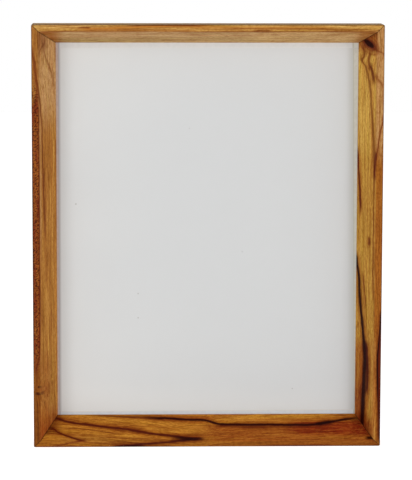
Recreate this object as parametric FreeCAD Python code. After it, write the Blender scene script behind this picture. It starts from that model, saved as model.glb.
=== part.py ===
"""Wooden screen printing frame, standing on its bottom rail.

Four mitred hardwood rails, each with a narrow flat rim in front and an inner face that slopes down to
the sight edge, carry a mesh that is stretched over the back and stapled through cotton tape.
Millimetres, +Z up, front towards -Y. The origin is the middle of the bounding box at its lowest face.
"""

import FreeCAD, Part
import math
import os

# ---- driving dimensions -------------------------------------------------------------------------
OPENING_WIDTH = 305.0
OPENING_HEIGHT = 381.0
SIDE_RAIL_WIDTH = 23.5
TOP_RAIL_WIDTH = 19.5
BOTTOM_RAIL_WIDTH = 27.5
RAIL_DEPTH = 30.0
RIM_WIDTH = 7.0
LIP_DEPTH = 1.5

CORNER_ROUND = 1.6
FRONT_ROUND = 1.2
BACK_ROUND = 0.8
RIDGE_ROUND = 0.8
SIGHT_ROUND = 0.4

MESH_THICKNESS = 0.2
MESH_MARGIN = 3.5

TAPE_THICKNESS = 0.4
TAPE_WIDTH = 13.0
TAPE_MARGIN = 4.5

STAPLE_CROWN = 10.0
STAPLE_LEG = 8.0
STAPLE_WIRE = 0.5
STAPLE_BREADTH = 1.2
STAPLE_SHOULDER = 0.7
STAPLE_PITCH = 30.0
STAPLE_SLANT = 35.0

SPLINE_LENGTH = 16.0
SPLINE_WIDTH = 6.0
SPLINE_THICKNESS = 3.0
SPLINE_INSET = 9.5
SPLINE_DEPTH = 15.0

VNAIL_LEG = 6.0
VNAIL_THICKNESS = 0.6
VNAIL_HEIGHT = 8.0
VNAIL_INSETS = (9.0, 14.5)

SEAL_THICKNESS = 0.15
SEAL_TOP = (6.0, 5.2)
SEAL_BOTTOM = (3.6, 4.6)
SEAL_LEFT = (2.4, 3.0)
SEAL_RIGHT = (1.0, 5.4)

# ---- worked out from them -----------------------------------------------------------------------
WIDTH = OPENING_WIDTH + 2 * SIDE_RAIL_WIDTH
HEIGHT = OPENING_HEIGHT + TOP_RAIL_WIDTH + BOTTOM_RAIL_WIDTH
TOTAL_DEPTH = RAIL_DEPTH + MESH_THICKNESS + TAPE_THICKNESS + STAPLE_WIRE
FRONT_Y = -TOTAL_DEPTH / 2
BACK_Y = FRONT_Y + RAIL_DEPTH
TAPE_Y = BACK_Y + MESH_THICKNESS
STAPLE_Y = TAPE_Y + TAPE_THICKNESS
OVERCUT = 10.0
SAME_PLACE = 0.001
SAME_EDGE = 0.1

SIDES = ("left", "right", "bottom", "top")
RAIL_WIDTHS = {
    "left": SIDE_RAIL_WIDTH,
    "right": SIDE_RAIL_WIDTH,
    "bottom": BOTTOM_RAIL_WIDTH,
    "top": TOP_RAIL_WIDTH,
}
CORNERS = (("left", "bottom"), ("right", "bottom"), ("left", "top"), ("right", "top"))


def upright(side):
    """True for the two rails that stand on end."""
    return side in ("left", "right")


def on_rail(side, inward, along, y):
    """A point by its distance in from a rail's outer face, its place along the rail and its Y.
    Along is Z on the side rails and X on the others."""
    if side == "left":
        return FreeCAD.Vector(-WIDTH / 2 + inward, y, along)
    if side == "right":
        return FreeCAD.Vector(WIDTH / 2 - inward, y, along)
    if side == "bottom":
        return FreeCAD.Vector(along, y, inward)
    return FreeCAD.Vector(along, y, HEIGHT - inward)


def at_corner(corner, from_side, from_end, y):
    """A point by its distances in from the two outer faces that meet at a corner."""
    side, end = corner
    x = -WIDTH / 2 + from_side if side == "left" else WIDTH / 2 - from_side
    z = from_end if end == "bottom" else HEIGHT - from_end
    return FreeCAD.Vector(x, y, z)


def prism(points, direction):
    """A straight prism on a closed outline."""
    outline = Part.makePolygon(points + [points[0]])
    return Part.Face(outline).extrude(direction)


def group(solids):
    """Separate solids kept together as one node."""
    return Part.makeCompound(solids)


# ---- rails --------------------------------------------------------------------------------------
def frame_envelope():
    """The outer block of the whole frame with its arrises and corners eased."""
    block = Part.makeBox(WIDTH, RAIL_DEPTH, HEIGHT, FreeCAD.Vector(-WIDTH / 2, FRONT_Y, 0))
    corners = [e for e in block.Edges if e.BoundBox.YLength > RAIL_DEPTH / 2]
    block = block.makeFillet(CORNER_ROUND, corners)
    front = [e for e in block.Edges if abs(e.BoundBox.YMax - FRONT_Y) < SAME_PLACE]
    block = block.makeFillet(FRONT_ROUND, front)
    back = [e for e in block.Edges if abs(e.BoundBox.YMin - BACK_Y) < SAME_PLACE]
    return block.makeFillet(BACK_ROUND, back)


def rail_bar(side):
    """A rail before its ends are cut: rim, sloping inner face and lip, with the ridge eased."""
    width = RAIL_WIDTHS[side]
    length = (HEIGHT if upright(side) else WIDTH) + 2 * OVERCUT
    start = -OVERCUT if upright(side) else -WIDTH / 2 - OVERCUT
    section = [
        (0, FRONT_Y),
        (RIM_WIDTH, FRONT_Y),
        (width, BACK_Y - LIP_DEPTH),
        (width, BACK_Y),
        (0, BACK_Y),
    ]
    points = [on_rail(side, inward, start, y) for inward, y in section]
    along = FreeCAD.Vector(0, 0, length) if upright(side) else FreeCAD.Vector(length, 0, 0)
    bar = prism(points, along)
    for inward, y, radius in (
        (RIM_WIDTH, FRONT_Y, RIDGE_ROUND),
        (width, BACK_Y - LIP_DEPTH, SIGHT_ROUND),
    ):
        middle = on_rail(side, inward, start + length / 2, y)
        ridge = [e for e in bar.Edges if e.CenterOfMass.distanceToPoint(middle) < SAME_EDGE]
        bar = bar.makeFillet(radius, ridge)
    return bar


def mitred_plan(side):
    """The block that a rail fills between its two mitres, seen from the front."""
    if upright(side):
        ends = ((side, "bottom"), (side, "top"))
    else:
        ends = (("left", side), ("right", side))
    first, last = (
        [
            at_corner(end, 0, 0, FRONT_Y),
            at_corner(end, RIM_WIDTH, RIM_WIDTH, FRONT_Y),
            at_corner(end, SIDE_RAIL_WIDTH, RAIL_WIDTHS[end[1]], FRONT_Y),
        ]
        for end in ends
    )
    return prism(first + last[::-1], FreeCAD.Vector(0, RAIL_DEPTH, 0))


def rail(side, envelope, fixings):
    """One mitred rail with the slots of its splines, nails and staples."""
    shape = rail_bar(side).common(mitred_plan(side)).common(envelope)
    return shape.cut(fixings).removeSplitter()


# ---- corner fixings -----------------------------------------------------------------------------
def corner_spline(corner):
    """A loose tongue glued across a mitre, hidden at mid depth."""
    centre = at_corner(corner, SPLINE_INSET, SPLINE_INSET, FRONT_Y + SPLINE_DEPTH)
    out = (at_corner(corner, 0, 0, centre.y) - centre).normalize()
    across = FreeCAD.Vector(-out.z, 0, out.x)
    half_width = out * (SPLINE_WIDTH / 2)
    half_length = across * (SPLINE_LENGTH / 2)
    points = [
        centre + half_width + half_length,
        centre + half_width - half_length,
        centre - half_width - half_length,
        centre - half_width + half_length,
    ]
    return prism(points, FreeCAD.Vector(0, SPLINE_THICKNESS, 0))


def corner_vnails(corner):
    """Steel V nails driven across a mitre from the back, flush with the wood."""
    nails = []
    for inset in VNAIL_INSETS:
        tip = at_corner(corner, inset, inset, BACK_Y)
        out = (at_corner(corner, 0, 0, BACK_Y) - tip).normalize()
        across = FreeCAD.Vector(-out.z, 0, out.x)
        reach = VNAIL_LEG / math.sqrt(2)
        step = out * (VNAIL_THICKNESS * math.sqrt(2))
        left = tip + out * -reach + across * reach
        right = tip + out * -reach + across * -reach
        points = [tip, left, left + step, tip + step, right + step, right]
        nails.append(prism(points, FreeCAD.Vector(0, -VNAIL_HEIGHT, 0)))
    return group(nails)


# ---- mesh and its fixings -----------------------------------------------------------------------
def sheet_box(x, z, width, height, y, thickness):
    """A flat sheet by its centre on the back face, its size and its front Y."""
    return Part.makeBox(
        width, thickness, height, FreeCAD.Vector(x - width / 2, y, z - height / 2)
    )


def screen_mesh(staples):
    """The stretched mesh, cut to size just inside the outer edges of the back."""
    width = WIDTH - 2 * MESH_MARGIN
    height = HEIGHT - 2 * MESH_MARGIN
    return sheet_box(0, HEIGHT / 2, width, height, BACK_Y, MESH_THICKNESS).cut(staples)


def stapling_tape(side, staples):
    """Cotton tape over the mesh along one rail. The upright strips stop at the level ones."""
    line = TAPE_MARGIN + TAPE_WIDTH / 2
    if upright(side):
        length = HEIGHT - 2 * (TAPE_MARGIN + TAPE_WIDTH)
        x = on_rail(side, line, 0, 0).x
        tape = sheet_box(x, HEIGHT / 2, TAPE_WIDTH, length, TAPE_Y, TAPE_THICKNESS)
    else:
        length = WIDTH - 2 * TAPE_MARGIN
        z = on_rail(side, line, 0, 0).z
        tape = sheet_box(0, z, length, TAPE_WIDTH, TAPE_Y, TAPE_THICKNESS)
    return tape.cut(staples)


def staple_outline():
    """One staple in the X-Y plane about its crown's middle: crown outside, legs into the wood."""
    half = STAPLE_CROWN / 2
    tip = -STAPLE_LEG
    outline = [
        (-half, 0),
        (-half + STAPLE_SHOULDER, STAPLE_WIRE),
        (half - STAPLE_SHOULDER, STAPLE_WIRE),
        (half, 0),
        (half, tip),
        (half - STAPLE_WIRE, tip),
        (half - STAPLE_WIRE, 0),
        (-half + STAPLE_WIRE, 0),
        (-half + STAPLE_WIRE, tip),
        (-half, tip),
    ]
    return [FreeCAD.Vector(x, y, -STAPLE_BREADTH / 2) for x, y in outline]


def staple(side, along):
    """A staple at a place along a rail, slanted to the rail's run."""
    shape = prism(staple_outline(), FreeCAD.Vector(0, 0, STAPLE_BREADTH))
    turn = STAPLE_SLANT + (90 if upright(side) else 0)
    shape.rotate(FreeCAD.Vector(0, 0, 0), FreeCAD.Vector(0, 1, 0), turn)
    shape.translate(on_rail(side, TAPE_MARGIN + TAPE_WIDTH / 2, along, STAPLE_Y))
    return shape


def staple_row(side):
    """The staples along one rail, evenly spaced about its middle and clear of the corners."""
    middle = HEIGHT / 2 if upright(side) else 0
    length = HEIGHT if upright(side) else WIDTH
    clear = TAPE_MARGIN + 2 * TAPE_WIDTH
    gaps = int((length - 2 * clear) / STAPLE_PITCH)
    first = middle - gaps * STAPLE_PITCH / 2
    return group([staple(side, first + i * STAPLE_PITCH) for i in range(gaps + 1)])


def seal_strip(side, widths):
    """Sealing tape on the well side of the mesh, laid by hand, so its two ends differ in width.
    Widths run from low to high along the rail. The upright strips stop at the level ones."""
    edge = RAIL_WIDTHS[side]
    y = BACK_Y - SEAL_THICKNESS
    if upright(side):
        low = BOTTOM_RAIL_WIDTH + max(SEAL_BOTTOM)
        high = HEIGHT - TOP_RAIL_WIDTH - max(SEAL_TOP)
    else:
        low, high = -OPENING_WIDTH / 2, OPENING_WIDTH / 2
    points = [
        on_rail(side, edge, low, y),
        on_rail(side, edge + widths[0], low, y),
        on_rail(side, edge + widths[1], high, y),
        on_rail(side, edge, high, y),
    ]
    return prism(points, FreeCAD.Vector(0, SEAL_THICKNESS, 0))


# ---- the assembly -------------------------------------------------------------------------------
def corner_name(corner):
    """A corner's name, level rail first."""
    side, end = corner
    return f"{end}_{side}"


def build():
    """Every node of the frame by name."""
    splines = {c: corner_spline(c) for c in CORNERS}
    vnails = {c: corner_vnails(c) for c in CORNERS}
    staples = {s: staple_row(s) for s in SIDES}
    envelope = frame_envelope()
    nodes = {}
    for side in SIDES:
        fixings = [splines[c] for c in CORNERS if side in c]
        fixings += [vnails[c] for c in CORNERS if side in c]
        nodes[f"{side}_rail"] = rail(side, envelope, fixings + [staples[side]])
        nodes[f"{side}_staples"] = staples[side]
        nodes[f"{side}_stapling_tape"] = stapling_tape(side, staples[side])
    for corner in CORNERS:
        nodes[f"{corner_name(corner)}_spline"] = splines[corner]
        nodes[f"{corner_name(corner)}_v_nails"] = vnails[corner]
    nodes["screen_mesh"] = screen_mesh(list(staples.values()))
    for side, widths in (
        ("top", SEAL_TOP),
        ("bottom", SEAL_BOTTOM),
        ("left", SEAL_LEFT),
        ("right", SEAL_RIGHT),
    ):
        nodes[f"{side}_seal_strip"] = seal_strip(side, widths)
    return nodes


os.makedirs("parts", exist_ok=True)
for name, shape in build().items():
    shape.exportStep(f"parts/{name}.step")
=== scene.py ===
"""Looks of the wooden screen printing frame: oiled teak rails, fine mesh, tapes and staples, all on a
plain white sweep."""

import math
import random

import bmesh
import bpy
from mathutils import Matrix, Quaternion, Vector


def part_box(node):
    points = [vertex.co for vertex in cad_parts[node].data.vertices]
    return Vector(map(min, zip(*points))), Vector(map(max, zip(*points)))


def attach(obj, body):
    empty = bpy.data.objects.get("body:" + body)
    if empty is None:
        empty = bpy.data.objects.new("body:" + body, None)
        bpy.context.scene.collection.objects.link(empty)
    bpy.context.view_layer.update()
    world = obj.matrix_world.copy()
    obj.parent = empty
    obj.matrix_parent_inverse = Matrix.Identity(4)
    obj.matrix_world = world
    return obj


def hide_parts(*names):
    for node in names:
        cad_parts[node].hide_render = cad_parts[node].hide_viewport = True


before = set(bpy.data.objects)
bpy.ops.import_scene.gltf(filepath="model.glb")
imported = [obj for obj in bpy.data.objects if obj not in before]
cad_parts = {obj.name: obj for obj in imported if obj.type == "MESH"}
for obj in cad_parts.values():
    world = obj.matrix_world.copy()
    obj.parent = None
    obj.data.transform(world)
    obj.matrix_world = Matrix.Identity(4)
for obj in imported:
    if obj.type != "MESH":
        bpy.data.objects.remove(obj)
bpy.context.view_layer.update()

MM = 0.001

# ---- the frame's measures, taken from the CAD nodes ----------------------------------------------
LEFT_LO, LEFT_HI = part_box("left_rail")
TOP_LO, TOP_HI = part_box("top_rail")
BOTTOM_LO, BOTTOM_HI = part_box("bottom_rail")
MESH_LO, MESH_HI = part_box("screen_mesh")
HALF_WIDTH = -LEFT_LO.x
HEIGHT = TOP_HI.z
FRONT_Y = BOTTOM_LO.y
RAIL_WIDTH = {
    "left": LEFT_HI.x - LEFT_LO.x,
    "right": LEFT_HI.x - LEFT_LO.x,
    "bottom": BOTTOM_HI.z - BOTTOM_LO.z,
    "top": TOP_HI.z - TOP_LO.z,
}
SIDES = ("left", "right", "bottom", "top")
UPRIGHT = ("left", "right")
LEVEL = ("bottom", "top")
RIM = 7.0  # width of the flat rim in front, in mm

# ---- camera (metres and degrees) and light (metres and watts) -------------------------------------
CAMERA_AT = (-0.077, -2.504, 0.550)
CAMERA_PITCH = 7.73
CAMERA_YAW = 1.73
CAMERA_ROLL = 0.14
CAMERA_LENS = 187.5  # mm
CLIP_NEAR, CLIP_FAR = 0.05, 30
DIM_OVERHEAD = 0.42
HORIZON_TOP, OVERHEAD_FROM = 0.08, 0.55  # heights in the sky between which it dims
STRIP_WIDTH, STRIP_HEIGHT = 0.35, 1.6
STRIPS = (
    ("left_strip", (-1.25, -1.15, 0.55), 9.5),
    ("right_strip", (1.20, -1.20, 0.40), 7.0),
)
FLOOR_HALF = 4.0
FLOOR_WHITE = (0.92, 0.92, 0.92, 1)
FLOOR_GLOW = 0.7
WHITE = (1, 1, 1, 1)


def srgb(r, g, b):
    """A colour given in 0-255 display values, as linear light."""
    def linear(v):
        v /= 255
        return v / 12.92 if v <= 0.04045 else ((v + 0.055) / 1.055) ** 2.4
    return (linear(r), linear(g), linear(b), 1.0)


# ---- a short way to write node trees -------------------------------------------------------------
class Tree:
    """A material's node tree. Every method adds a node and returns its output socket."""

    def __init__(self, name):
        self.material = bpy.data.materials.new(name)
        self.material.use_nodes = True
        self.nodes = self.material.node_tree.nodes
        self.links = self.material.node_tree.links
        self.nodes.clear()
        self.output = self.nodes.new("ShaderNodeOutputMaterial")

    def feed(self, socket, value):
        if isinstance(value, bpy.types.NodeSocket):
            self.links.new(value, socket)
        elif value is not None:
            socket.default_value = value

    def math(self, operation, a, b=None):
        node = self.nodes.new("ShaderNodeMath")
        node.operation = operation
        for socket, value in zip(node.inputs, (a, b)):
            self.feed(socket, value)
        return node.outputs[0]

    def add(self, a, b):
        return self.math("ADD", a, b)

    def sub(self, a, b):
        return self.math("SUBTRACT", a, b)

    def mul(self, a, b):
        return self.math("MULTIPLY", a, b)

    def absolute(self, a):
        return self.math("ABSOLUTE", a)

    def square(self, a):
        return self.math("POWER", self.absolute(a), 2)

    def ramp(self, value, low, high, out_low=0.0, out_high=1.0):
        """A smooth step from out_low to out_high as value goes from low to high."""
        node = self.nodes.new("ShaderNodeMapRange")
        node.interpolation_type = "SMOOTHSTEP"
        for socket, v in zip(node.inputs, (value, low, high, out_low, out_high)):
            self.feed(socket, v)
        return node.outputs[0]

    def mix(self, share, a, b, blend="MIX"):
        node = self.nodes.new("ShaderNodeMix")
        node.data_type = "RGBA"
        node.blend_type = blend
        self.feed(node.inputs["Factor"], share)
        self.feed(node.inputs["A"], a)
        self.feed(node.inputs["B"], b)
        return next(s for s in node.outputs if s.type == "RGBA")

    def vector(self, x, y, z):
        node = self.nodes.new("ShaderNodeCombineXYZ")
        for socket, value in zip(node.inputs, (x, y, z)):
            self.feed(socket, value)
        return node.outputs[0]

    def place(self):
        """Object coordinates in millimetres, as three sockets."""
        coords = self.nodes.new("ShaderNodeTexCoord")
        split = self.nodes.new("ShaderNodeSeparateXYZ")
        self.links.new(coords.outputs["Object"], split.inputs[0])
        return [self.mul(split.outputs[i], 1 / MM) for i in range(3)]

    def noise(self, vector, detail, roughness=0.5):
        node = self.nodes.new("ShaderNodeTexNoise")
        self.feed(node.inputs["Vector"], vector)
        node.inputs["Scale"].default_value = 1.0
        node.inputs["Detail"].default_value = detail
        node.inputs["Roughness"].default_value = roughness
        return node.outputs[0]

    def spread(self, axes, pace):
        """Coordinates scaled to a noise's pace: the same for each axis, or one for each."""
        paces = pace if isinstance(pace, tuple) else (pace,) * 3
        return self.vector(*(self.mul(axis, step) for axis, step in zip(axes, paces)))

    def curve(self, value, points):
        """A free curve through given points, first coordinate in, second out, both from 0 to 1."""
        node = self.nodes.new("ShaderNodeFloatCurve")
        self.feed(node.inputs["Value"], value)
        line = node.mapping.curves[0]
        line.points[0].location = points[0]
        line.points[1].location = points[-1]
        for point in points[1:-1]:
            line.points.new(*point)
        node.mapping.update()
        return node.outputs[0]

    def bump(self, height, depth, strength):
        """Relief whose full height is depth millimetres."""
        node = self.nodes.new("ShaderNodeBump")
        node.inputs["Strength"].default_value = strength
        node.inputs["Distance"].default_value = depth * MM
        self.feed(node.inputs["Height"], height)
        return node.outputs[0]

    def principled(self, colour, roughness, normal=None, **plain):
        node = self.nodes.new("ShaderNodeBsdfPrincipled")
        self.feed(node.inputs["Base Color"], colour)
        self.feed(node.inputs["Roughness"], roughness)
        self.feed(node.inputs["Normal"], normal)
        for name, value in plain.items():
            node.inputs[name.replace("_", " ")].default_value = value
        self.links.new(node.outputs[0], self.output.inputs["Surface"])
        return node


# ---- teak ---------------------------------------------------------------------------------------
# Every grain layer's change per millimetre, along and across the grain.
BROAD_PACE = (0.006, 0.20)
STREAK_PACE = (0.016, 0.85)
FINE_PACE = (0.05, 2.6)
PORE_PACE = (0.28, 5.0)
TINT_PACE = (0.009, 0.34)
SWAY_PACE = (0.012, 0.02)
FLECK_PACE = (0.26, 0.62)
BLUSH_PACE = (0.045, 0.25)
RIPPLE_PACE = (0.08, 0.15)
SLANT, SLANT_LEAN, SLANT_ACROSS = 0.75, 0.30, 0.42
DEEP = 0.7  # change with depth, as a share of the change across
TINT_SEED = 40
SWAY_REACH = 6.0  # mm that the grain wanders from its line

# Where a layer shows: the noise values it fades in between, and its share at each of them.
OLIVE_SHOWS = (0.52, 0.70, 0.0, 0.8)
RED_SHOWS = (0.30, 0.48, 0.8, 0.0)
STREAK_SHOWS = (0.46, 0.62, 0.0, 0.85)
FINE_SHOWS = (0.48, 0.68, 0.0, 0.72)
PALE_SHOWS = (0.32, 0.48, 0.45, 0.0)
FLECK_SHOWS = (0.46, 0.60, 0.0, 0.55)
PORE_SHOWS = (0.58, 0.70, 0.0, 0.45)
BLUSH_SHOWS = (0.46, 0.60, 0.0, 0.75)
RAGGED_ZONE = (0.25, 0.6, 0.75, 1.0)
ZONE_SOFT = (15.0, 3.0)

# Veins: their waver in mm, and how far core and halo reach in half widths.
RIPPLE, RAG = 1.5, 0.9
CORE, CORE_END = 0.3, 1.6
HALO_SPREAD, HALO_SHARE = 2.6, 0.6
VEIN_FADE = 5.0

KNOT_SWING = 2.2  # how far about a knot the grain swings, in knot sizes
SEAM_LINE = (0.1, 0.8, 1.0, 0.0)
# EDGE_SHADE_SHARE sets the strength of the painted shade along the outer front edge.
SEAM_SHARE, EDGE_SHADE_SHARE = 0.8, 0.65
TEAK_RELIEF = 0.12
TEAK_SPECULAR = 0.05

STREAK_CAST = (0.58, 0.42, 0.26, 1.0)
OLIVE_CAST = (0.92, 0.97, 0.70, 1.0)
RED_CAST = (1.0, 0.86, 0.74, 1.0)
HALO_CAST = (0.62, 0.32, 0.16, 1.0)
SEAM_BROWN = srgb(44, 20, 8)
# Painted shade along the outer front edge.
EDGE_SHADE_BROWN = srgb(60, 40, 26)
BLACK_FIGURE = srgb(34, 2, 0)
RED_FIGURE = srgb(84, 22, 4)
BROWN_FIGURE = srgb(100, 44, 12)


class Rail(Tree):
    """Wood of one rail. Along runs from the bottom or left end, inward from the outer face and depth
    from the front, all in millimetres. Figure is inward, running on below zero down the outer face."""

    def __init__(self, side):
        super().__init__(f"teak_{side}")
        x, y, z = self.place()
        if side in UPRIGHT:
            self.along, self.length = z, HEIGHT / MM
        else:
            self.along, self.length = self.add(x, HALF_WIDTH / MM), 2 * HALF_WIDTH / MM
        self.inward = {
            "left": lambda: self.add(x, HALF_WIDTH / MM),
            "right": lambda: self.sub(HALF_WIDTH / MM, x),
            "bottom": lambda: z,
            "top": lambda: self.sub(HEIGHT / MM, z),
        }[side]()
        self.depth = self.sub(y, FRONT_Y / MM)
        on_edge = self.ramp(self.inward, 0.05, 0.5, 1.0, 0.0)
        self.figure = self.sub(self.inward, self.mul(self.depth, on_edge))
        self.side = side
        self.width = RAIL_WIDTH[side] / MM

    def line(self, points):
        """Distance inward of a line through given points, for every place along the rail. The curve's own
        values hold from -0.25 to 0.75 of twice the rail's width, so that a line may leave the rail."""
        below, reach = 0.25, 2 * self.width
        run = self.mul(self.along, 1 / self.length)
        shape = [(s / self.length, u / reach + below) for s, u in points]
        if shape[0][0] > 0:
            shape.insert(0, (0.0, shape[0][1]))
        if shape[-1][0] < 1:
            shape.append((1.0, shape[-1][1]))
        return self.mul(self.sub(self.curve(run, shape), below), reach)

    def window(self, value, low, high, soft):
        """1 between low and high, fading out over soft on both sides."""
        rise = self.ramp(value, low - soft, low + soft)
        fall = self.ramp(value, high - soft, high + soft, 1.0, 0.0)
        return self.mul(rise, fall)

    def patch(self, along, inward, soft_along, soft_inward):
        """A soft-edged patch of the rail's front."""
        a = self.window(self.along, *along, soft_along)
        b = self.window(self.figure, *inward, soft_inward)
        return self.mul(a, b)

    def vein(self, points, half_width, waver, fade, spread=1.0):
        """A line of the figure through given points (along, inward), 1 on the line and 0 beside it."""
        off = self.absolute(self.add(self.sub(self.figure, self.line(points)), waver))
        reach = half_width * spread
        core = self.ramp(off, reach * CORE, reach * CORE_END, 1.0, 0.0)
        return self.mul(core, self.window(self.along, points[0][0], points[-1][0], fade))

    def streaks(self, across, seed, pace, **detail):
        """Noise drawn out along the grain."""
        slow, quick = pace
        deep = self.add(self.mul(self.depth, quick * DEEP), seed)
        return self.noise(self.vector(self.mul(self.along, slow), self.mul(across, quick), deep), **detail)

    def grain(self, seed, flow, knots):
        """Distance across the grain: inward, less the line the grain follows, swung about the knots."""
        slow, quick = SWAY_PACE
        across = self.sub(self.figure, self.line(flow)) if flow else self.figure
        place = self.vector(self.mul(self.along, slow), self.mul(self.depth, quick), seed)
        sway = self.noise(place, detail=1.0)
        across = self.add(across, self.mul(sway, SWAY_REACH))
        for knot in knots:
            across = self.add(across, self.mul(self.knot_reach(knot, KNOT_SWING), knot["swell"]))
        return across

    def glaze(self, colour, layer, shows, cast):
        """The colour darkened by a cast wherever the layer shows."""
        return self.mix(self.ramp(layer, *shows), colour, cast, "MULTIPLY")

    def wood(self, seed, tones, rim_tones, flow=None, zones=(), veins=(), knots=(), mottle=None):
        """Oiled teak. tones are its pale and middle colours on the slope, rim_tones those on the rim. Both
        hold painted light and shade besides the wood's own colour: each face of each rail is toned for
        how it is lit. zones, veins, knots and mottle are what the rail's own figure shows, each with its
        place, colour and strength, and a few zones are painted highlight and painted sheen."""
        across = self.grain(seed, flow, knots)
        broad = self.streaks(across, seed, BROAD_PACE, detail=3.0, roughness=0.6)
        streak = self.streaks(across, seed, STREAK_PACE, detail=3.0, roughness=0.6)
        fine = self.streaks(across, seed, FINE_PACE, detail=4.0, roughness=0.7)
        pores = self.streaks(across, seed, PORE_PACE, detail=1.0)
        on_rim = self.ramp(self.inward, RIM - 0.2, RIM + 0.5, 1.0, 0.0)
        # the slope and rim tones differ partly as painted light and shade
        pale, middle = (self.mix(on_rim, *pair) for pair in zip(tones, rim_tones))
        colour = self.mix(self.ramp(broad, 0.36, 0.64), middle, pale)
        colour = self.zoned(colour, zones, streak)
        colour = self.tinted(colour, across, seed)
        colour = self.glaze(colour, streak, STREAK_SHOWS, STREAK_CAST)
        colour = self.glaze(colour, fine, FINE_SHOWS, STREAK_CAST)
        colour = self.mix(self.ramp(fine, *PALE_SHOWS), colour, pale)
        colour = self.flecked(colour, across, seed)
        if mottle:
            colour = self.mottled(colour, mottle, seed)
        for knot in knots:
            colour = self.knotted(colour, knot, fine)
        colour = self.veined(colour, veins, fine, seed)
        colour = self.glaze(colour, pores, PORE_SHOWS, STREAK_CAST)
        colour = self.mix(self.mul(self.seam(), SEAM_SHARE), colour, SEAM_BROWN)
        # painted shade along the outer front edge
        colour = self.mix(self.mul(self.painted_edge_shade(), EDGE_SHADE_SHARE), colour, EDGE_SHADE_BROWN)
        self.surface(colour, fine, pores)
        return self.material

    def surface(self, colour, fine, pores):
        """An oiled surface, rougher in the fine grain and open at the pores."""
        height = self.add(self.mul(fine, 0.6), self.ramp(pores, 0.56, 0.70, 0.8, 0.0))
        roughness = self.ramp(fine, 0.3, 0.7, 0.40, 0.55)
        relief = self.bump(height, TEAK_RELIEF, 0.5)
        self.principled(colour, roughness, relief, Specular_IOR_Level=TEAK_SPECULAR)

    def zoned(self, colour, zones, streak):
        """Broad patches of another colour, their edges broken up by the streaks."""
        for zone in zones:
            ragged = self.ramp(streak, *RAGGED_ZONE)
            share = self.mul(self.patch(*zone["at"], *zone.get("soft", ZONE_SOFT)), zone["share"])
            colour = self.mix(self.mul(share, ragged), colour, zone["colour"])
        return colour

    def tinted(self, colour, across, seed):
        """Long bands that lean to olive or to red."""
        tint = self.streaks(across, seed + TINT_SEED, TINT_PACE, detail=2.0)
        colour = self.glaze(colour, tint, OLIVE_SHOWS, OLIVE_CAST)
        return self.glaze(colour, tint, RED_SHOWS, RED_CAST)

    def flecked(self, colour, across, seed):
        """Short darker flecks all over."""
        slow, quick = FLECK_PACE
        place = self.vector(self.mul(self.along, slow), self.mul(across, quick), self.add(self.depth, seed))
        return self.glaze(colour, self.noise(place, detail=3.0, roughness=0.65), FLECK_SHOWS, STREAK_CAST)

    def mottled(self, colour, mottle, seed):
        """Short slanting flecks where the saw met the grain nearly end on, redder in places."""
        lean = self.sub(self.mul(self.along, SLANT), self.mul(self.inward, SLANT_LEAN))
        place = self.vector(lean, self.mul(self.inward, SLANT_ACROSS), seed)
        flecks = self.noise(place, detail=3.0, roughness=0.65)
        here = self.patch(*mottle["at"], *mottle["soft"])
        red = self.mul(here, self.ramp(self.front_noise(BLUSH_PACE, seed, detail=2.0), *BLUSH_SHOWS))
        colour = self.mix(red, colour, mottle["blush"])
        dark = self.mul(here, self.ramp(flecks, 0.47, 0.57, 0.0, mottle["share"]))
        return self.mix(dark, colour, mottle["colour"])

    def front_noise(self, pace, seed, detail):
        """Noise over along and inward only."""
        slow, quick = pace
        return self.noise(self.vector(self.mul(self.along, slow), self.mul(self.inward, quick), seed), detail)

    def veined(self, colour, veins, fine, seed):
        """Every vein in a ragged dark core inside a soft reddish halo."""
        ripple = self.front_noise(RIPPLE_PACE, seed, detail=3.0)
        waver = self.add(self.mul(self.sub(ripple, 0.5), RIPPLE), self.mul(self.sub(fine, 0.5), RAG))
        for vein in veins:
            course = (vein["through"], vein["half"], waver, vein.get("fade", VEIN_FADE))
            halo = self.mul(self.vein(*course, spread=HALO_SPREAD), HALO_SHARE * vein["share"])
            colour = self.mix(halo, colour, HALO_CAST, "MULTIPLY")
            colour = self.mix(self.mul(self.vein(*course), vein["share"]), colour, vein["colour"])
        return colour

    def knot_reach(self, knot, spread):
        """A bell about a knot's heart, spread times its size, leaning along the rail as it goes inward."""
        (s, u), (long, wide) = knot["at"], knot["size"]
        off = self.sub(self.figure, u)
        run = self.sub(self.sub(self.along, s), self.mul(off, knot.get("lean", 0.0)))
        far = [
            self.square(self.mul(axis, 1 / (size * spread)))
            for axis, size in ((run, long), (off, wide))
        ]
        return self.math("EXPONENT", self.mul(self.add(*far), -1.0))

    def knotted(self, colour, knot, fine):
        """A knot: its ragged brown surround, its rings and its dark heart."""
        reach = self.knot_reach(knot, 1.0)
        ragged = self.add(reach, self.mul(self.sub(fine, 0.5), 0.5))
        colour = self.mix(self.ramp(ragged, 0.08, 0.55, 0.0, knot["share"]), colour, knot["colour"])
        rings = self.math("SINE", self.mul(self.add(reach, self.mul(fine, 0.3)), knot["rings"]))
        share = self.mul(self.ramp(rings, 0.0, 0.9, 0.0, knot["ringed"]), self.ramp(reach, 0.05, 0.4))
        colour = self.mix(share, colour, HALO_CAST, "MULTIPLY")
        return self.mix(self.ramp(ragged, knot["open"], knot["open"] + 0.2), colour, knot["heart"])

    def seam(self):
        """The hairline of glue and shadow where the rail meets its neighbours at the mitres."""
        starts, ends = {
            "left": LEVEL, "right": LEVEL, "bottom": UPRIGHT, "top": UPRIGHT,
        }[self.side]
        own_slope = self.width - RIM
        past = self.math("MAXIMUM", self.sub(self.inward, RIM), 0.0)
        within = self.math("MINIMUM", self.inward, RIM)
        off = []
        for far, neighbour in ((self.along, starts), (self.sub(self.length, self.along), ends)):
            mitre = self.add(within, self.mul(past, (RAIL_WIDTH[neighbour] / MM - RIM) / own_slope))
            off.append(self.absolute(self.sub(far, mitre)))
        return self.ramp(self.math("MINIMUM", *off), *SEAM_LINE)

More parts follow.
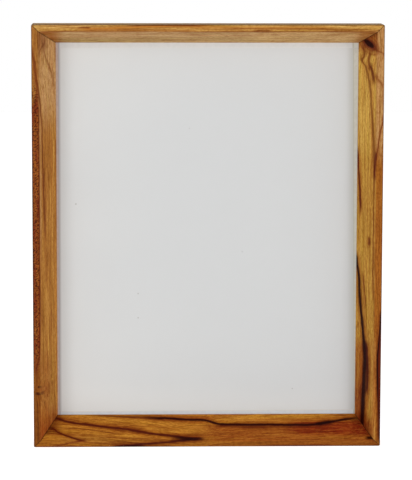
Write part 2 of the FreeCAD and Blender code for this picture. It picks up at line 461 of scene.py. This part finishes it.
    def painted_edge_shade(self):
        """The outer front edge, darkened as painted shade where the rounded edge turns from the light."""
        near_face = self.ramp(self.inward, 0.2, 1.2, 1.0, 0.0)
        near_front = self.ramp(self.depth, 1.0, 2.5, 1.0, 0.0)
        return self.mul(near_face, near_front)


def left_teak():
    wood = Rail("left")
    return wood.wood(
        seed=3.0,
        tones=(srgb(196, 143, 68), srgb(170, 113, 47)),
        # Painted shade: the rim's tones are darker, partly for a face turned away from the light.
        rim_tones=(srgb(144, 88, 28), srgb(120, 68, 18)),
        flow=((0, 11.0), (120, 11.0), (250, 11.5), (330, 10.0), (364, 6.5), (410, 1.0)),
        zones=(
            {"at": ((-20, 32), (7, 30)), "colour": srgb(160, 64, 22), "share": 0.85, "soft": (16, 2)},
            {"at": ((20, 90), (8, 16)), "colour": srgb(158, 92, 34), "share": 0.6, "soft": (16, 2)},
            {"at": ((96, 350), (-5, 6.9)), "colour": srgb(160, 92, 36), "share": 0.9, "soft": (22, 0.4)},
            {"at": ((84, 330), (-5, 1.3)), "colour": srgb(98, 30, 10), "share": 0.8, "soft": (22, 0.8)},
            {"at": ((350, 440), (-5, 7)), "colour": srgb(172, 120, 58), "share": 0.8, "soft": (14, 1)},
            # a pale line along the ridge between rim and slope, partly wear and partly painted highlight
            {"at": ((205, 330), (7.2, 9.4)), "colour": srgb(212, 170, 108), "share": 0.75, "soft": (20, 0.5)},
            # painted sheen: the slope paler and greyer towards its top end
            {"at": ((335, 440), (8, 30)), "colour": srgb(208, 172, 124), "share": 0.7, "soft": (25, 3)},
            {"at": ((403, 425), (6, 15)), "colour": srgb(120, 52, 20), "share": 0.6, "soft": (5, 2)},
            {"at": ((54.0, 57.0), (2.0, 10.5)), "colour": srgb(60, 20, 4), "share": 1.0, "soft": (0.9, 1.5)},
            {"at": ((61.0, 63.4), (4.2, 8.2)), "colour": srgb(60, 20, 4), "share": 1.0, "soft": (0.9, 1.2)},
            {"at": ((58.2, 61.6), (9.0, 12.0)), "colour": srgb(206, 150, 84), "share": 0.7,
             "soft": (1.2, 1.2)},
        ),
        mottle={"at": ((84, 366), (-5, 7.0)), "soft": (18, 0.4), "colour": srgb(62, 18, 4), "share": 0.95,
                "blush": srgb(118, 44, 18)},
        knots=(
            {"at": (59, 10.0), "size": (5.0, 4.2), "swell": 3.5, "rings": 9.0, "share": 0.5, "open": 1.3,
             "ringed": 0.35, "colour": srgb(150, 88, 34), "heart": srgb(96, 50, 26)},
        ),
        veins=(
            {"through": ((76, 2.5), (92, 5.8), (120, 6.8), (200, 7.1), (300, 7.1), (345, 7.0)),
             "half": 0.6, "colour": RED_FIGURE, "share": 0.7},
            {"through": ((215, 12.6), (251, 11.6), (284, 10.6), (314, 10.3), (344, 9.0), (364, 6.5),
                         (389, 3.5), (402, 1.5)),
             "half": 0.5, "colour": BROWN_FIGURE, "share": 0.8, "fade": 10.0},
            {"through": ((366, 21.5), (385, 17.5), (406, 12.0)), "half": 0.5, "colour": BROWN_FIGURE,
             "share": 0.5, "fade": 8.0},
            {"through": ((345, 4.2), (362, 5.0), (380, 3.4), (405, 0.5)), "half": 0.45,
             "colour": BROWN_FIGURE, "share": 0.7, "fade": 8.0},
            {"through": ((396, 7.8), (404, 9.6), (412, 13.0)), "half": 0.5, "colour": BROWN_FIGURE,
             "share": 0.45, "fade": 5.0},
        ),
    )


def right_teak():
    wood = Rail("right")
    return wood.wood(
        seed=11.0,
        tones=(srgb(188, 144, 61), srgb(168, 117, 47)),
        rim_tones=(srgb(160, 102, 32), srgb(140, 82, 22)),
        flow=((0, 16.0), (35, 15.0), (60, 13.5), (80, 13.2), (97, 14.2), (130, 18.0), (170, 21.0),
              (220, 22.0), (428, 22.0)),
        zones=(
            {"at": ((130, 400), (9, 30)), "colour": srgb(196, 154, 70), "share": 0.6, "soft": (25, 1.5)},
            {"at": ((-10, 110), (5.2, 9)), "colour": srgb(198, 148, 74), "share": 0.65, "soft": (12, 1.0)},
            {"at": ((110, 290), (-5, 7.5)), "colour": srgb(156, 94, 32), "share": 0.7, "soft": (20, 0.8)},
            {"at": ((300, 440), (-5, 8)), "colour": srgb(197, 156, 102), "share": 0.8, "soft": (16, 1.5)},
            {"at": ((-10, 104), (17.5, 30)), "colour": srgb(160, 94, 32), "share": 0.8, "soft": (10, 1.5)},
            {"at": ((-10, 58), (18.5, 30)), "colour": srgb(140, 62, 22), "share": 0.6, "soft": (14, 1.5)},
            {"at": ((-10, 28), (8, 30)), "colour": srgb(128, 38, 14), "share": 0.85, "soft": (8, 3)},
            {"at": ((300, 404), (9, 24)), "colour": srgb(216, 180, 92), "share": 0.7, "soft": (12, 2)},
            {"at": ((402, 430), (7, 24)), "colour": srgb(150, 84, 38), "share": 0.75, "soft": (4, 2)},
            {"at": ((415, 428), (7, 20)), "colour": srgb(104, 38, 14), "share": 0.65, "soft": (2.5, 2)},
        ),
        knots=(
            {"at": (407, 14.0), "size": (8.0, 8.0), "swell": 5.0, "rings": 17.0, "share": 0.5, "open": 1.4,
             "ringed": 0.55, "lean": 0.4, "colour": srgb(128, 66, 26), "heart": BLACK_FIGURE},
            {"at": (408.5, 14.5), "size": (4.6, 6.6), "swell": 0.0, "rings": 6.0, "share": 0.9, "open": 0.55,
             "ringed": 0.2, "lean": 0.6, "colour": srgb(96, 38, 16), "heart": BLACK_FIGURE},
        ),
        veins=(
            {"through": ((14, 17.3), (35, 16.8), (60, 16.4), (80, 15.7), (97, 15.8), (110, 16.5), (130, 18.4),
                         (150, 20.1), (170, 21.2), (194, 23.6)),
             "half": 1.25, "colour": BLACK_FIGURE, "share": 1.0},
            {"through": ((18, 17.1), (35, 16.5), (60, 15.7), (90, 14.9), (105, 15.8)),
             "half": 1.7, "colour": BLACK_FIGURE, "share": 0.95, "fade": 6.0},
            {"through": ((54, 13.3), (62, 12.7), (80, 12.8), (97, 13.3), (104, 14.0)),
             "half": 1.0, "colour": srgb(60, 10, 2), "share": 0.95},
            {"through": ((6, 0.9), (30, 1.2), (50, 2.3), (75, 3.4), (100, 2.9), (120, 1.4), (138, 0.3)),
             "half": 1.2, "colour": BLACK_FIGURE, "share": 1.0},
            {"through": ((6, 0.4), (30, 0.6), (60, 1.5), (90, 1.9), (115, 0.8)),
             "half": 1.0, "colour": RED_FIGURE, "share": 0.9},
            {"through": ((143, 15.3), (155, 15.8), (172, 17.3)), "half": 0.4, "colour": BROWN_FIGURE,
             "share": 0.85},
            {"through": ((205, 12.7), (209, 12.4), (213, 12.6)), "half": 0.9, "colour": BROWN_FIGURE,
             "share": 0.9, "fade": 2.0},
            {"through": ((150, 8.6), (209, 8.9), (250, 9.0), (285, 8.6)), "half": 0.35,
             "colour": BROWN_FIGURE, "share": 0.85, "fade": 12.0},
            {"through": ((274, 8.7), (286, 8.4), (299, 7.2)), "half": 1.0, "colour": RED_FIGURE,
             "share": 0.95, "fade": 5.0},
            {"through": ((288, 8.2), (300, 6.5), (320, 3.5), (338, 0.6)), "half": 0.6,
             "colour": BROWN_FIGURE, "share": 0.9},
            {"through": ((292, 8.8), (310, 9.8), (340, 11.5), (365, 13.2), (385, 17.0), (396, 21.8)),
             "half": 0.8, "colour": srgb(110, 60, 20), "share": 0.8, "fade": 8.0},
            {"through": ((370, 10.0), (379, 11.2), (388, 12.8)), "half": 1.1, "colour": RED_FIGURE,
             "share": 0.85, "fade": 4.0},
            {"through": ((382, 13.6), (392, 14.6), (400, 13.2)), "half": 0.8, "colour": BROWN_FIGURE,
             "share": 0.8, "fade": 4.0},
            {"through": ((390, 20.6), (398, 18.6), (406, 19.6)), "half": 0.8, "colour": BROWN_FIGURE,
             "share": 0.8, "fade": 4.0},
            {"through": ((397, 0.5), (401, 4.5), (404, 9.0)), "half": 1.0, "colour": BROWN_FIGURE,
             "share": 0.6, "fade": 2.0},
            {"through": ((366, 2.0), (372, 5.0), (378, 8.4)), "half": 0.9, "colour": srgb(126, 72, 30),
             "share": 0.7, "fade": 3.0},
            {"through": ((238, 20.4), (262, 21.2), (285, 22.6), (302, 23.4)), "half": 0.95,
             "colour": RED_FIGURE, "share": 0.95, "fade": 8.0},
        ),
    )


def bottom_teak():
    wood = Rail("bottom")
    return wood.wood(
        seed=23.0,
        tones=(srgb(211, 146, 50), srgb(183, 114, 38)),
        rim_tones=(srgb(160, 102, 30), srgb(138, 80, 20)),
        flow=((0, 22.0), (60, 18.5), (110, 13.5), (165, 8.0), (190, 12.0), (233, 14.0), (290, 15.0),
              (352, 20.0)),
        zones=(
            {"at": ((172, 345), (6, 18.5)), "colour": srgb(163, 80, 26), "share": 0.75, "soft": (18, 2)},
            {"at": ((262, 352), (11, 22)), "colour": srgb(148, 44, 14), "share": 0.9, "soft": (16, 2)},
            {"at": ((326, 352), (9, 28)), "colour": srgb(124, 32, 14), "share": 0.75, "soft": (8, 3)},
            {"at": ((-10, 26), (12, 30)), "colour": srgb(124, 46, 14), "share": 0.8, "soft": (6, 3)},
            {"at": ((30, 80), (5, 11)), "colour": srgb(190, 134, 52), "share": 0.6, "soft": (12, 2)},
            {"at": ((240, 360), (-5, 7)), "colour": srgb(140, 76, 20), "share": 0.7, "soft": (20, 0.8)},
        ),
        veins=(
            {"through": ((82, 0.4), (110, 2.8), (135, 4.9), (155, 7.0), (168, 8.0)), "half": 1.0,
             "colour": srgb(66, 16, 2), "share": 1.0},
            {"through": ((16, 25.2), (35, 21.8), (60, 19.0), (90, 16.0), (110, 13.5), (130, 11.2), (150, 9.3),
                         (170, 7.9)),
             "half": 1.0, "colour": srgb(84, 24, 4), "share": 1.0},
            {"through": ((142, 8.6), (156, 7.9), (170, 7.8)), "half": 1.2, "colour": BLACK_FIGURE,
             "share": 0.9, "fade": 10.0},
            {"through": ((20, 1.6), (40, 5.0), (51, 6.6)), "half": 0.5, "colour": BROWN_FIGURE,
             "share": 0.85},
            {"through": ((16, 17.0), (25, 13.2), (38, 9.6), (52, 6.7)), "half": 0.8,
             "colour": RED_FIGURE, "share": 0.95},
            {"through": ((28, 17.3), (60, 15.0), (90, 12.0)), "half": 0.4, "colour": BROWN_FIGURE,
             "share": 0.6, "fade": 10.0},
            {"through": ((70, 9.6), (100, 8.6), (132, 7.6)), "half": 0.3, "colour": BROWN_FIGURE,
             "share": 0.4, "fade": 10.0},
            {"through": ((62, 26.8), (100, 25.6), (130, 24.6)), "half": 0.7, "colour": BROWN_FIGURE,
             "share": 0.8, "fade": 14.0},
            {"through": ((118, 25.0), (130, 24.6), (160, 23.2), (174, 22.6), (182, 21.2),
                         (188, 19.8), (198, 19.3), (233, 19.1), (258, 18.9), (286, 19.2), (296, 20.4),
                         (308, 21.8), (332, 24.4)),
             "half": 1.05, "colour": srgb(44, 4, 0), "share": 1.0, "fade": 12.0},
            {"through": ((289, 19.4), (297, 20.4), (304, 21.2)), "half": 1.6, "colour": BLACK_FIGURE,
             "share": 0.9, "fade": 4.0},
            {"through": ((185, 17.9), (233, 17.4), (290, 17.6)), "half": 0.9, "colour": RED_FIGURE,
             "share": 0.45, "fade": 14.0},
            {"through": ((80, 0.4), (97, 1.0), (112, 0.8)), "half": 0.9, "colour": BLACK_FIGURE,
             "share": 0.8},
            {"through": ((338, 8.3), (343, 8.0), (349, 7.6)), "half": 1.3, "colour": BLACK_FIGURE,
             "share": 0.95, "fade": 2.5},
            {"through": ((230, 1.2), (262, 0.9), (300, 1.2)), "half": 0.5, "colour": RED_FIGURE,
             "share": 0.6, "fade": 12.0},
        ),
    )


def top_teak():
    wood = Rail("top")
    return wood.wood(
        seed=37.0,
        # Painted sheen: the slope's tones are paler and greyer, for light reflected onto a face turned down.
        # Painted light: the rim's tones are bright, for a face lit from above.
        tones=(srgb(190, 157, 110), srgb(176, 143, 96)),
        rim_tones=(srgb(206, 165, 92), srgb(188, 144, 72)),
        zones=(
            {"at": ((-10, 365), (14.5, 18)), "colour": srgb(164, 142, 84), "share": 0.5, "soft": (12, 1.5)},
            {"at": ((225, 335), (7.4, 25)), "colour": srgb(202, 168, 114), "share": 0.6, "soft": (20, 0.6)},
            # painted highlight: the rim paler towards the top-left corner
            {"at": ((-10, 60), (-5, 3.5)), "colour": srgb(212, 172, 108), "share": 0.6, "soft": (10, 1.0)},
            {"at": ((-10, 27), (7.4, 25)), "colour": srgb(158, 92, 30), "share": 0.9, "soft": (9, 0.5)},
            {"at": ((326, 365), (7.4, 25)), "colour": srgb(162, 98, 34), "share": 0.85, "soft": (9, 0.5)},
            {"at": ((300, 365), (4.5, 9.5)), "colour": srgb(150, 96, 36), "share": 0.6, "soft": (14, 0.8)},
        ),
        veins=(
            {"through": ((50, 4.6), (75, 3.8), (95, 3.2), (120, 2.2), (150, 1.0), (176, 0.4)),
             "half": 0.8, "colour": srgb(172, 108, 38), "share": 0.75, "fade": 10.0},
            {"through": ((47, 3.4), (52, 3.2), (58, 3.6)), "half": 0.4, "colour": BROWN_FIGURE,
             "share": 0.8, "fade": 2.0},
            {"through": ((150, 2.6), (200, 2.4), (240, 2.8), (300, 2.6)),
             "half": 0.9, "colour": srgb(180, 122, 50), "share": 0.5, "fade": 14.0},
            {"through": ((96, 1.4), (128, 1.0), (168, 1.2)), "half": 0.35, "colour": RED_FIGURE,
             "share": 0.7, "fade": 8.0},
            {"through": ((60, 5.7), (110, 5.4), (160, 5.8)), "half": 0.35, "colour": srgb(140, 82, 30),
             "share": 0.7, "fade": 12.0},
            {"through": ((190, 4.4), (250, 4.0), (330, 4.6)), "half": 0.35, "colour": srgb(132, 74, 26),
             "share": 0.7, "fade": 14.0},
            {"through": ((222, 6.2), (231, 5.8), (238, 6.0)), "half": 0.5, "colour": BROWN_FIGURE,
             "share": 0.8, "fade": 3.0},
            {"through": ((8, 6.9), (120, 7.0), (230, 6.9), (344, 6.8)), "half": 0.45,
             "colour": BROWN_FIGURE, "share": 0.6},
        ),
    )


# ---- the other materials ------------------------------------------------------------------------
# Lengths are in mm here, and a pace is in turns of the noise per mm.
THREAD_PITCH = 0.30
TWILL_PITCH, CROSS_PITCH = 0.9, 0.45
MESH_OPENNESS = 0.06
MESH_WHITE = srgb(211, 211, 209)
MESH_GREY = srgb(198, 199, 199)
MESH_SHADE = srgb(186, 187, 187)
# Painted shade: the first of these greys the mesh towards the right, and a little towards the top.
SHADE_TO_RIGHT, TO_TOP, HAZE, PALE_EDGES = 1 / 480, 0.15, 0.3, 0.25
PALE_FOOT = (25.0, 70.0, 0.6, 0.0)
HAZE_PACE = (0.006, 0.012)
CENTRE = ((0.0, 152.0), (218.0, 190.0))  # middle and reach of the mesh's greyer part, x then z
# Painted shadow of the side rails on the mesh beside the side strips: per strip, its sign, reach in mm, share
# and tone.
RAIL_SHADOW_ON_MESH = (("left", 1, 2.4, 0.85, srgb(166, 160, 159)), ("right", -1, 8.0, 0.65, srgb(182, 182, 175)))
SPECKS = ((-133, 245, 1.2), (-70, 153, 1.0), (-70, 128, 1.0), (36, 196, 0.8), (88, 54, 0.9), (-18, 322, 0.7))
SPECK_BROWN = srgb(120, 112, 104)


def mesh_tone(tree, x, z):
    """The mesh's colour: a haze of white and grey, greyer in the middle, greyer to the right as painted
    shade, paler at the bottom, with the painted shadow of the side rails along the side strips; the few
    specks of dust come in specked."""
    slow, quick = HAZE_PACE
    haze = tree.noise(tree.vector(tree.mul(x, slow), 0.0, tree.mul(z, quick)), detail=1.0)
    off_centre = [
        tree.square(tree.mul(tree.sub(axis, middle), 1 / reach))
        for axis, (middle, reach) in zip((x, z), CENTRE)
    ]
    # painted shade: greyer towards the right
    greyer = tree.add(tree.mul(tree.add(x, tree.mul(z, TO_TOP)), SHADE_TO_RIGHT), tree.mul(haze, HAZE))
    greyer = tree.sub(tree.add(greyer, 0.5), tree.mul(tree.add(*off_centre), PALE_EDGES))
    greyer = tree.sub(greyer, tree.ramp(z, *PALE_FOOT))
    colour = tree.mix(tree.ramp(greyer, -0.45, 0.75), MESH_WHITE, MESH_GREY)
    # painted shadow of the side rails along the side strips
    for strip, sign, reach, share, tone in RAIL_SHADOW_ON_MESH:
        past = tree.mul(past_strip(tree, strip, z, x), sign)
        colour = tree.mix(tree.ramp(past, 0.0, reach, share, 0.0), colour, tone)
    return colour


def specked(tree, colour, x, z):
    """The few specks of dust on the mesh, each at its place with its radius."""
    for at_x, at_z, radius in SPECKS:
        far = [tree.square(tree.sub(axis, at)) for axis, at in ((x, at_x), (z, at_z))]
        share = tree.ramp(tree.add(*far), 0.0, radius * radius, 0.45, 0.0)
        colour = tree.mix(share, colour, SPECK_BROWN)
    return colour


def mesh_cloth():
    """Fine white woven mesh. The open part of the weave lets some of what is behind show through."""
    tree = Tree("screen_mesh_cloth")
    x, y, z = tree.place()
    threads = [tree.math("SINE", tree.mul(axis, 2 * math.pi / THREAD_PITCH)) for axis in (x, z)]
    weave = tree.mul(*threads)
    colour = mesh_tone(tree, x, z)
    colour = tree.mix(tree.ramp(weave, -1.0, 1.0, 0.0, 0.10), colour, MESH_SHADE)
    colour = specked(tree, colour, x, z)
    node = tree.principled(
        colour, 0.6, tree.bump(weave, 0.03, 0.4), Specular_IOR_Level=0.3, Sheen_Weight=0.1,
        Sheen_Roughness=0.4,
    )
    clear = tree.nodes.new("ShaderNodeBsdfTransparent")
    both = tree.nodes.new("ShaderNodeMixShader")
    both.inputs["Fac"].default_value = MESH_OPENNESS
    tree.links.new(node.outputs[0], both.inputs[1])
    tree.links.new(clear.outputs[0], both.inputs[2])
    tree.links.new(both.outputs[0], tree.output.inputs["Surface"])
    return tree.material


def cotton_twill():
    """Unbleached cotton tape with a diagonal twill, soiled in patches."""
    tree = Tree("cotton_twill")
    x, y, z = tree.place()
    twill = tree.math("SINE", tree.mul(tree.add(x, z), 2 * math.pi / TWILL_PITCH))
    cross = tree.math("SINE", tree.mul(tree.sub(x, z), 2 * math.pi / CROSS_PITCH))
    weave = tree.add(tree.mul(twill, 0.7), tree.mul(cross, 0.3))
    soil = tree.noise(tree.spread((x, y, z), 0.03), detail=4.0)
    colour = tree.mix(tree.ramp(soil, 0.35, 0.7), srgb(222, 212, 188), srgb(196, 180, 150))
    # painted shade in the weave's hollows
    colour = tree.mix(tree.ramp(weave, -1.0, 0.6, 0.35, 0.0), colour, srgb(150, 134, 106))
    tree.principled(colour, 0.85, tree.bump(weave, 0.15, 0.8), Sheen_Weight=0.25, Sheen_Roughness=0.6)
    return tree.material


# Each strip's body tone and crease tone. Their darkness from side to side is painted shade, the left strip
# darkest, and the darker crease tone is painted shade in the creases.
SEAL_TONES = {
    "left": (srgb(180, 160, 150), srgb(172, 152, 142)),
    "right": (srgb(194, 192, 182), srgb(188, 185, 174)),
    "bottom": (srgb(194, 197, 199), srgb(190, 192, 194)),
    "top": (srgb(197, 195, 193), srgb(193, 192, 189)),
}
# The painted line at each strip's edge, shade on the left and right strips, warm painted light thrown off the
# wood on the bottom one and a faint paler line on the top one: its tone, its share and its half width in mm.
SEAL_EDGES = {
    "left": (srgb(154, 146, 147), 0.8, 0.8),
    "right": (srgb(170, 168, 150), 0.8, 0.7),
    "bottom": (srgb(206, 196, 184), 0.6, 0.6),
    "top": (srgb(201, 200, 197), 0.5, 0.5),
}
CREASE_PACE = 0.25
LINE_CORE, LINE_END = 0.4, 1.6  # parts of the half width where the line starts to fade and ends
UNDER_SOFT = (-0.6, 0.2, 1.0, 0.0)
SAME_END = 0.5


def strip_edge(side):
    """The inner edge of a seal strip as offset and slope: across = offset + slope * along, in mm."""
    along, across = (2, 0) if side in UPRIGHT else (0, 2)
    inner = max if side in ("left", "bottom") else min
    points = [v.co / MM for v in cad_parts[f"{side}_seal_strip"].data.vertices]
    ends = []
    for pick in (min, max):
        end = pick(p[along] for p in points)
        ends.append((end, inner(p[across] for p in points if abs(p[along] - end) < SAME_END)))
    (a0, c0), (a1, c1) = ends
    slope = (c1 - c0) / (a1 - a0)
    return c0 - slope * a0, slope


def past_strip(tree, side, along, across):
    """Distance past a strip's inner edge, in mm, growing with x or z."""
    offset, slope = strip_edge(side)
    return tree.sub(across, tree.add(tree.mul(along, slope), offset))


def seal_film(side, body, crease_shade_tone):
    """White sealing tape, faintly creased with painted shade in the creases, with a painted line where each
    strip's edge lies, shade on the side strips and paler on the top and bottom ones. The top and bottom
    strips take on the side strips' painted-shade tones where they lie over them."""
    tree = Tree(f"seal_film_{side}")
    x, y, z = tree.place()
    crease = tree.noise(tree.vector(tree.mul(x, CREASE_PACE), 0.0, tree.mul(z, CREASE_PACE)), detail=4.0)
    # painted shade in the creases
    colour = tree.mix(tree.ramp(crease, 0.35, 0.65), body, crease_shade_tone)
    for strip in (side,) if side in UPRIGHT else (side, *UPRIGHT):
        past = past_strip(tree, strip, *((z, x) if strip in UPRIGHT else (x, z)))
        if strip != side:
            # painted shade: a level strip takes the side strip's shaded tone where it laps it
            under = tree.mul(past, 1 if strip == "left" else -1)
            colour = tree.mix(tree.ramp(under, *UNDER_SOFT), colour, SEAL_TONES[strip][0])
        # the painted line at the strip's edge: shade on the side strips, light on the level ones
        tone, share, half = SEAL_EDGES[strip]
        off = tree.absolute(past)
        line = tree.ramp(off, half * LINE_CORE, half * LINE_END, share, 0.0)
        colour = tree.mix(line, colour, tone)
    tree.principled(colour, 0.45, tree.bump(crease, 0.06, 0.4), Specular_IOR_Level=0.3)
    return tree.material


def steel_wire(name, colour, roughness):
    """Drawn steel with fine lengthwise scratches and a little tarnish."""
    tree = Tree(name)
    axes = tree.place()
    scratch = tree.noise(tree.spread(axes, (9.0, 2.0, 9.0)), detail=3.0)
    tarnish = tree.noise(tree.spread(axes, 0.4), detail=3.0)
    shade = tree.mix(tree.ramp(tarnish, 0.45, 0.75), colour, srgb(120, 112, 100))
    rough = tree.ramp(scratch, 0.3, 0.7, roughness, roughness + 0.2)
    tree.principled(shade, rough, tree.bump(scratch, 0.02, 0.5), Metallic=1.0)
    return tree.material


def raw_beech():
    """Pale unfinished wood of the hidden tongues."""
    tree = Tree("raw_beech")
    grain = tree.noise(tree.spread(tree.place(), (0.3, 3.0, 0.3)), detail=3.0)
    colour = tree.mix(tree.ramp(grain, 0.35, 0.65), srgb(205, 174, 130), srgb(182, 146, 100))
    tree.principled(colour, 0.7, tree.bump(grain, 0.1, 0.4))
    return tree.material


def paint(node, material):
    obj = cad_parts[node]
    obj.data.materials.clear()
    obj.data.materials.append(material)


# ---- cloth pieces -------------------------------------------------------------------------------
STAPLE_PITCH = 0.030
BELLY = 0.00025
MESH_CELLS = (88, 107)
TAPE_CELLS = (6, 160)  # across and along an upright tape
LEVEL_TAPE_CELLS = (150, 6)
PUCKER, STRAY = 0.00028, 0.00035
STRAY_WAVES = (140, 57)  # radians per metre


def cloth_sheet(name, corner, far, cells, rise, edge, thickness, material):
    """A closed thin sheet in the X-Z plane between two corners. rise gives how far a point stands off
    towards the back, and edge how far it slips sideways, both in metres."""
    mesh = bmesh.new()
    columns, rows = cells
    faces = []
    for y_side in (0.0, thickness):
        grid = []
        for j in range(rows + 1):
            line = []
            for i in range(columns + 1):
                s, t = i / columns, j / rows
                x = corner[0] + (far[0] - corner[0]) * s
                z = corner[2] + (far[2] - corner[2]) * t
                dx, dz = edge(x, z, s, t)
                line.append(mesh.verts.new((x + dx, corner[1] + y_side + rise(x, z), z + dz)))
            grid.append(line)
        faces.append(grid)
    front, back = faces
    for j in range(rows):
        for i in range(columns):
            mesh.faces.new((front[j][i], front[j][i + 1], front[j + 1][i + 1], front[j + 1][i]))
            mesh.faces.new((back[j][i], back[j + 1][i], back[j + 1][i + 1], back[j][i + 1]))
    rim = [(0, i) for i in range(columns)] + [(j, columns) for j in range(rows)]
    rim += [(rows, i) for i in range(columns, 0, -1)] + [(j, 0) for j in range(rows, 0, -1)]
    for (j0, i0), (j1, i1) in zip(rim, rim[1:] + rim[:1]):
        mesh.faces.new((front[j0][i0], back[j0][i0], back[j1][i1], front[j1][i1]))
    bmesh.ops.recalc_face_normals(mesh, faces=mesh.faces)
    data = bpy.data.meshes.new(name)
    mesh.to_mesh(data)
    mesh.free()
    for face in data.polygons:
        face.use_smooth = True
    obj = bpy.data.objects.new(name, data)
    bpy.context.collection.objects.link(obj)
    data.materials.append(material)
    return obj


def make_screen_mesh(material):
    """The stretched mesh: flat where it lies on the rails, with a very slight belly in the opening."""
    half_x = HALF_WIDTH - RAIL_WIDTH["left"]
    low_z, high_z = RAIL_WIDTH["bottom"], HEIGHT - RAIL_WIDTH["top"]

    def rise(x, z):
        a = max(0.0, 1 - (x / half_x) ** 2)
        middle, reach = (low_z + high_z) / 2, (high_z - low_z) / 2
        b = max(0.0, 1 - ((z - middle) / reach) ** 2)
        return BELLY * a * b

    obj = cloth_sheet(
        "stretched_screen_mesh", MESH_LO, MESH_HI, MESH_CELLS, rise, lambda x, z, s, t: (0.0, 0.0),
        MESH_HI.y - MESH_LO.y, material,
    )
    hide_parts("screen_mesh")
    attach(obj, "root")


def make_stapling_tape(side, material):
    """Cotton tape that staples pull flat and that puckers a little between them."""
    node = f"{side}_stapling_tape"
    low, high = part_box(node)
    row_low, row_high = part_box(f"{side}_staples")
    upright = side in UPRIGHT
    run = 2 if upright else 0
    middle = (row_low[run] + row_high[run]) / 2
    wander = random.Random(f"{side} tape")
    phases = [wander.uniform(0, 2 * math.pi) for _ in range(4)]  # the last two are spare

    def rise(x, z):
        place = (z if upright else x) - middle
        lift = 0.5 - 0.5 * math.cos(2 * math.pi * place / STAPLE_PITCH + phase_shift)
        return PUCKER * lift

    def edge(x, z, s, t):
        place = z if upright else x
        share = (s if upright else t) * 2 - 1
        waves = [math.sin(place * wave + phase) for wave, phase in zip(STRAY_WAVES, phases)]
        slip = STRAY * share * math.prod(waves)
        return (slip, 0.0) if upright else (0.0, slip)

    count = round((row_high[run] - row_low[run]) / STAPLE_PITCH)
    phase_shift = 0.0 if count % 2 == 0 else math.pi
    cells = TAPE_CELLS if upright else LEVEL_TAPE_CELLS
    obj = cloth_sheet(f"{side}_cotton_tape", low, high, cells, rise, edge, high.y - low.y, material)
    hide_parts(node)
    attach(obj, "root")


# ---- dressing the CAD nodes ---------------------------------------------------------------------
def dress_frame():
    for side, material in (
        ("left", left_teak()),
        ("right", right_teak()),
        ("bottom", bottom_teak()),
        ("top", top_teak()),
    ):
        paint(f"{side}_rail", material)
    wire = steel_wire("staple_wire", srgb(196, 196, 194), 0.25)
    nail, tongue = steel_wire("nail_steel", srgb(170, 170, 172), 0.35), raw_beech()
    for side in SIDES:
        paint(f"{side}_seal_strip", seal_film(side, *SEAL_TONES[side]))
        paint(f"{side}_staples", wire)
    for end in LEVEL:
        for side in UPRIGHT:
            paint(f"{end}_{side}_v_nails", nail)
            paint(f"{end}_{side}_spline", tongue)
    make_screen_mesh(mesh_cloth())
    twill = cotton_twill()
    for side in SIDES:
        make_stapling_tape(side, twill)


# ---- studio -------------------------------------------------------------------------------------
def make_floor():
    half = FLOOR_HALF
    mesh = bpy.data.meshes.new("floor")
    mesh.from_pydata(
        [(-half, -half, 0), (half, -half, 0), (half, half, 0), (-half, half, 0)], [], [(0, 1, 2, 3)]
    )
    floor = bpy.data.objects.new("floor", mesh)
    bpy.context.collection.objects.link(floor)
    tree = Tree("floor_white")
    tree.principled(FLOOR_WHITE, 0.9, Emission_Color=WHITE, Emission_Strength=FLOOR_GLOW)
    mesh.materials.append(tree.material)


def make_world():
    """White at and below the horizon, dimmer overhead."""
    world = bpy.data.worlds.new("studio")
    bpy.context.scene.world = world
    world.use_nodes = True
    nodes, links = world.node_tree.nodes, world.node_tree.links
    coords = nodes.new("ShaderNodeTexCoord")
    split = nodes.new("ShaderNodeSeparateXYZ")
    fall = nodes.new("ShaderNodeMapRange")
    fall.interpolation_type = "SMOOTHSTEP"
    for socket, value in zip(list(fall.inputs)[1:5], (HORIZON_TOP, OVERHEAD_FROM, 1.0, DIM_OVERHEAD)):
        socket.default_value = value
    links.new(coords.outputs["Generated"], split.inputs[0])
    links.new(split.outputs["Z"], fall.inputs[0])
    links.new(fall.outputs[0], nodes["Background"].inputs["Strength"])
    nodes["Background"].inputs["Color"].default_value = WHITE


def make_strip(name, place, energy):
    """A tall soft strip light turned to the frame."""
    lamp = bpy.data.lights.new(name, "AREA")
    lamp.shape = "RECTANGLE"
    lamp.size, lamp.size_y = STRIP_WIDTH, STRIP_HEIGHT
    lamp.energy = energy
    strip = bpy.data.objects.new(name, lamp)
    strip.location = place
    aim = Vector((0, 0, HEIGHT / 2)) - strip.location
    strip.rotation_euler = aim.to_track_quat("-Z", "Y").to_euler()
    bpy.context.collection.objects.link(strip)


def make_camera():
    data = bpy.data.cameras.new("camera")
    data.lens = CAMERA_LENS
    data.clip_start, data.clip_end = CLIP_NEAR, CLIP_FAR
    camera = bpy.data.objects.new("camera", data)
    camera.location = CAMERA_AT
    pitch, yaw = math.radians(CAMERA_PITCH), math.radians(CAMERA_YAW)
    look = Vector((math.sin(yaw) * math.cos(pitch), math.cos(yaw) * math.cos(pitch), -math.sin(pitch)))
    turn = look.to_track_quat("-Z", "Y")
    roll = Quaternion((0, 0, 1), math.radians(CAMERA_ROLL))
    camera.rotation_mode = "QUATERNION"
    camera.rotation_quaternion = turn @ roll
    bpy.context.collection.objects.link(camera)
    bpy.context.scene.camera = camera


bpy.context.scene.view_settings.view_transform = "Standard"
dress_frame()
make_floor()
make_world()
for strip_light in STRIPS:
    make_strip(*strip_light)
make_camera()
